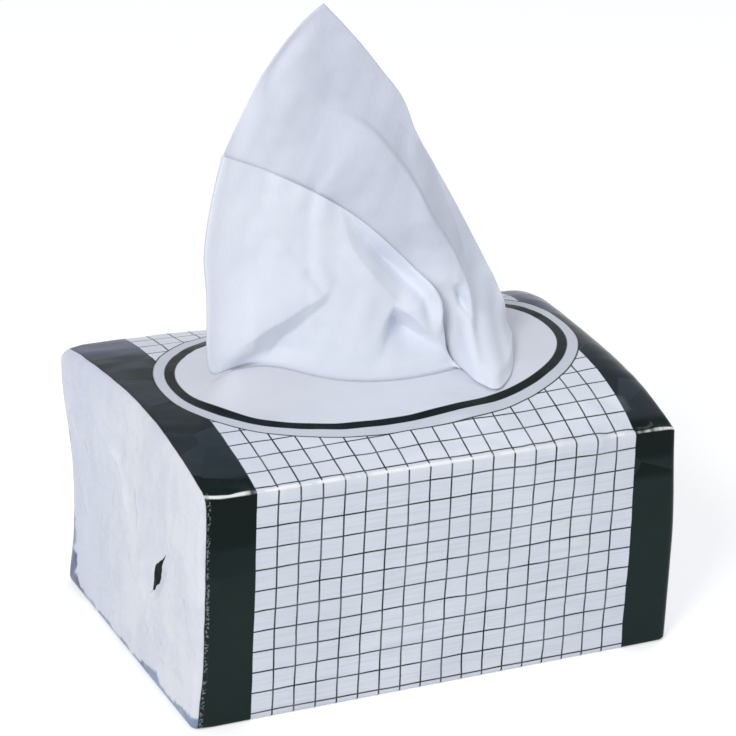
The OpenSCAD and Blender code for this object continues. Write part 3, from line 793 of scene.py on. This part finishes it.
# Depth of the back layer's folds: the sheet swells forward up to a long slanting crease and falls back to
# the right of it, dips along three lines, keeps back where the front layer covers it, and the hanging part
# has pleats that follow its columns
def backFolds(x, z, s):
    gap, way = acrossLine(x, z, backLines["step"])
    wide = 3 + 8 * hump(np.clip(way * 1.1, 0, 1))
    fallen = 0.4 * slope(-gap, -0.2, 1.5) + 0.6 * slope(-gap, 0, wide)
    raised = (1 - fallen) * bell(np.maximum(gap, 0), 26) * ramp(way, 0, 0.3) * ramp(z, 112, 138)
    fold = -backDepth["stepRaised"] * raised
    for key, (deep, wide) in backDips.items():
        gap, way = acrossLine(x, z, backLines[key])
        fold = fold + deep * bell(gap, wide) * hump(way)
    gap, way = acrossLine(x, z, frontLines["edge"])
    covered = ramp(gap, 0.3, 6)
    hang = ramp(s, 0.70, 0.76) * (1 - ramp(z, 118, 146))
    lean = s - 0.0015 * (z - 104)
    pleated = sum(high * bell(lean - share, wide) for high, share, wide in pleats)
    return mix(fold, backDepth["covered"], covered) - hang * pleated


# Depth of a sheet at given places: the mean of its points, weighted by how near each is in x and z
def depthAt(x, z, sheet, reach):
    sheetX, sheetY, sheetZ = (v.ravel()[None, :] for v in sheet)
    weight = bell(np.hypot(x.ravel()[:, None] - sheetX, z.ravel()[:, None] - sheetZ), reach)
    return ((weight * sheetY).sum(1) / weight.sum(1)).reshape(x.shape)


shareS = np.linspace(0, 1, wipe["across"] // 2 + 1)[:, None]
upT = np.linspace(0, 1, wipe["up"] + 1)[None, :] ** wipe["upPower"]
# the left fold's lower corner hangs over the film
cornerDroop = wipe["cornerDroop"] * bell(upT - 0.05, 0.05) * ramp(upT, 0, 0.03) * (1 - shareS) ** 10
settle = ramp(upT, 0, 0.1) * layerShare(shareS)  # no folds at the slit and round the left fold
plyGap = wipe["plyGap"] * np.sqrt(slope(shareS, 0, 0.02))  # round at the left fold, and even beyond it

# back layer: from the back lip, or at the right from where it hangs over the front lip, up to the free corner
cornerAt = backFall[0][0]
backX0, backY0 = np.moveaxis(edgeCurve(backFoot, shareS), -1, 0)
backY0 = backY0 + plyGap
backTop = np.where((shareS < cornerAt)[..., None], edgeCurve(backRise, np.clip(shareS, 0, cornerAt)),
                   edgeCurve(backFall, np.clip(shareS, cornerAt, 1)))
backT = mix(upT, 1 - (1 - upT) ** 2.3, ramp(shareS, 0.66, 0.78))
backX = mix(backX0, backTop[..., 0], upT) + foldLean(shareS, upT)
backFull = wipe["hangFull"] * ramp(shareS, 0.72, 0.80) * ramp(upT, 0, 0.06) * (1 - upT)  # the hanging part's fullness
backZ = mix(filmTop(backX0, backY0) + wipe["overFilm"], backTop[..., 2], upT) + backFull - cornerDroop
belly = backDepth["belly"] * bell(backX + 10, 30) * bell(backZ - 165, 35)
backY = mix(backY0, backTop[..., 1] + plyGap, backT) + settle * (
    backFolds(backX, backZ, shareS) + wipeCrumple(backX, backZ) - belly)

# front layer: from the front lip up to its free edge, which lies on the back layer
spread = 1.06 * shareS ** 2 / (shareS + 0.06)  # its columns stand closer together by the left fold
frontX0 = mix(*frontFootX, spread)
frontY0 = mix(backFoot[0][2], frontLip(frontX0) + 1.1, layerShare(shareS)) - plyGap
edgeX, edgeFreeY, edgeZ = np.moveaxis(edgeCurve(frontEdge, shareS), -1, 0)
edgeGap = layerShare(shareS) * mix(*wipe["edgeGap"], ramp(shareS, 0.35, 0.7))
edgeY = depthAt(edgeX, edgeZ, (backX, backY, backZ), 1.8) - edgeGap
edgeY = mix(edgeY, edgeFreeY, ramp(shareS, 0.80, 0.92))
bow = wipe["edgeBow"] * hump(upT) * ramp(shareS, 0.93, 1)  # its right side bows in, clear of its own folds
frontX = mix(frontX0, edgeX, upT) + foldLean(shareS, upT) - bow
frontZ = mix(filmTop(frontX0, frontY0) + wipe["overFilm"], edgeZ, upT) - cornerDroop
frontY = mix(frontY0, edgeY - 2 * plyGap, upT) + settle * (
    frontFolds(frontX, frontZ) + wipeCrumple(frontX, frontZ))
# where it would come nearer to the back layer than keepOff, it is moved forward
backNear = depthAt(frontX, frontZ, [v[::3, ::3] for v in (backX, backY, backZ)], 2.2)
least, moreRight, moreEdge = wipe["keepOff"]
keepOff = least + moreRight * ramp(shareS, 0.3, 0.5) + moreEdge * ramp(frontX, 12, 20)
frontY = frontY - np.maximum(frontY - backNear + keepOff, 0) * ramp(shareS, 0.02, 0.08)

lipShare = np.linspace(0, 1, wipe["lipRows"] + 1)[None, :-1]
footShare = np.linspace(1, 0, wipe["footRows"] + 1)[None, :-1]


# The sheet below a layer: the lip rows run from inside the slit straight to the layer's lower edge, just over
# the film, and the foot rows run away from the slit on top of the stack, always under the film
def underSheet(x0, y0, side, reach):
    inX = np.clip(x0, slitLeft + 4, slitRight - 4)
    inY = np.clip(y0, frontLip(inX) + 0.7, np.maximum(backLip(inX) - 0.3, frontLip(inX) + 0.8))
    lipX, lipY = mix(inX, x0, lipShare ** 2), mix(inY, y0, lipShare ** 2)
    hangs = ramp(np.hypot(x0 - inX, y0 - inY), 1, 5)
    lipRise = mix(lipShare, ramp(lipShare, 0, 0.2), hangs)
    lipZ = filmTop(lipX, lipY) + mix(-0.7, mix(wipe["overFilm"], 0.5, hangs), lipRise)
    away = mix(8.0, reach, layerShare(shareS)) * footShare
    toX, toY = layerShare(shareS) - 1, side * layerShare(shareS)
    length = np.hypot(toX, toY)
    footX, footY = inX + away * toX / length, inY + away * toY / length
    footZ = mix(filmTop(inX, inY) - 0.9, domeZ(footX, footY) - pack["film"] - 0.75, ramp(away, 0, 6))
    footZ = np.minimum(footZ, filmTop(footX, footY) - pack["film"] - 0.5)
    return np.stack([np.concatenate(pair, 1) for pair in ((footX, lipX), (footY, lipY), (footZ, lipZ))], -1)


frontUnder = underSheet(frontX0, frontY0, -1, wipe["footFront"])
backUnder = underSheet(backX0, backY0, 1, wipe["footBack"])
frontSheet = np.concatenate([frontUnder, np.stack([frontX, frontY, frontZ], -1)], 1)
backSheet = np.concatenate([backUnder, np.stack([backX, backY, backZ], -1)], 1)
wipePoints = np.concatenate([backSheet[:0:-1], frontSheet])
wipeU = np.linspace(-wipe["uv"][0], wipe["uv"][0], len(wipePoints))[:, None]
wipeV = np.linspace(0, wipe["uv"][1], wipePoints.shape[1])[None, :]
wipeUv = np.stack(np.broadcast_arrays(wipeU, wipeV), -1)


def wipeMaterial():
    material, n, shader = freshMaterial("wipe_cloth")
    cloth = clothNode(n, 0.5, 0.7)
    place = n.add("ShaderNodeTexCoord").outputs
    # painted shade: the layer behind is darker where it stands alone above the front one, as a single ply that light
    # passes through
    behind = n.fade(n.split(place["UV"])[0], -0.006, -0.050)
    alone = n.times(behind, n.fade(n.split(place["Object"])[2], 0.122, 0.150))
    double = n.blend(cloth["Tone"], wipe["colour"], wipe["shade"])
    shadedSingle = n.blend(cloth["Tone"], wipe["thin"], wipe["thinShade"])
    n.join(n.blend(alone, double, shadedSingle), shader.inputs["Base Color"])
    shader.inputs["Roughness"].default_value = 0.92
    shader.inputs["Specular IOR Level"].default_value = 0.2
    shader.inputs["Sheen Weight"].default_value = 0.12
    n.bumpOn(shader, cloth["Height"], **clothBump)
    return material


wipePiece = gridPiece("pulled_wipe_sheet", wipePoints, wipeUv, wipeMaterial())
ply = wipePiece.modifiers.new("ply", "SOLIDIFY")
ply.thickness = wipe["thick"] * mm
ply.offset = 0
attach(wipePiece, "root")
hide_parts("pulled_wipe")
print("pulled wipe:", len(wipePiece.data.polygons), "faces")

# floor, light and backdrop, in metres
studio = {
    "floor": screenColour(250, 250, 250), "floorHalf": 6.0,
    "floorGlow": 0.36,  # only as seen by the camera, so the floor is white and keeps the shadow
    "ambient": 0.50, "sky": (0.95, 0.97, 1.0, 1.0),
    "aim": (0, 0, 0.09),
    # place, size, power and colour
    "lamps": {
        "key": ((-1.25, -0.95, 1.2), 0.7, 17.0, (1.0, 0.99, 0.97)),
        "fill": ((1.2, -1.3, 0.8), 1.2, 2.0, (0.97, 0.98, 1.0)),
        "top": ((0.75, 0.25, 1.7), 0.4, 2.5, (0.95, 0.97, 1.0)),
    },
}


def stageFloor():
    mesh = bpy.data.meshes.new("floor")
    s = studio["floorHalf"]
    mesh.from_pydata([(-s, -s, 0), (s, -s, 0), (s, s, 0), (-s, s, 0)], [], [(0, 1, 2, 3)])
    floor = addObject("floor", mesh)
    material, n, shader = freshMaterial("floor")
    shader.inputs["Base Color"].default_value = studio["floor"]
    shader.inputs["Roughness"].default_value = 0.9
    shader.inputs["Specular IOR Level"].default_value = 0.0
    shader.inputs["Emission Color"].default_value = (1, 1, 1, 1)
    n.join(n.times(n.seen(), studio["floorGlow"]), shader.inputs["Emission Strength"])
    mesh.materials.append(material)


def areaLamp(name, place, size, power, colour):
    lamp = bpy.data.lights.new(name, "AREA")
    lamp.shape, lamp.size, lamp.energy, lamp.color = "SQUARE", size, power, colour
    aim = (Vector(studio["aim"]) - Vector(place)).to_track_quat("-Z", "Y")
    addObject(name, lamp).matrix_world = Matrix.Translation(place) @ aim.to_matrix().to_4x4()


def studioWorld():  # white as the camera sees it, and a weaker light on the object
    world = bpy.data.worlds.new("studio")
    bpy.context.scene.world = world
    world.use_nodes = True
    n = Nodes(world.node_tree)
    background = world.node_tree.nodes["Background"]
    background.inputs["Color"].default_value = studio["sky"]
    n.join(n.timesPlus(n.seen(), 1.0 - studio["ambient"], studio["ambient"]), background.inputs["Strength"])


stageFloor()
for name, settings in studio["lamps"].items():
    areaLamp(name, *settings)
studioWorld()
bpy.context.scene.view_settings.view_transform = "Standard"
print("studio set")
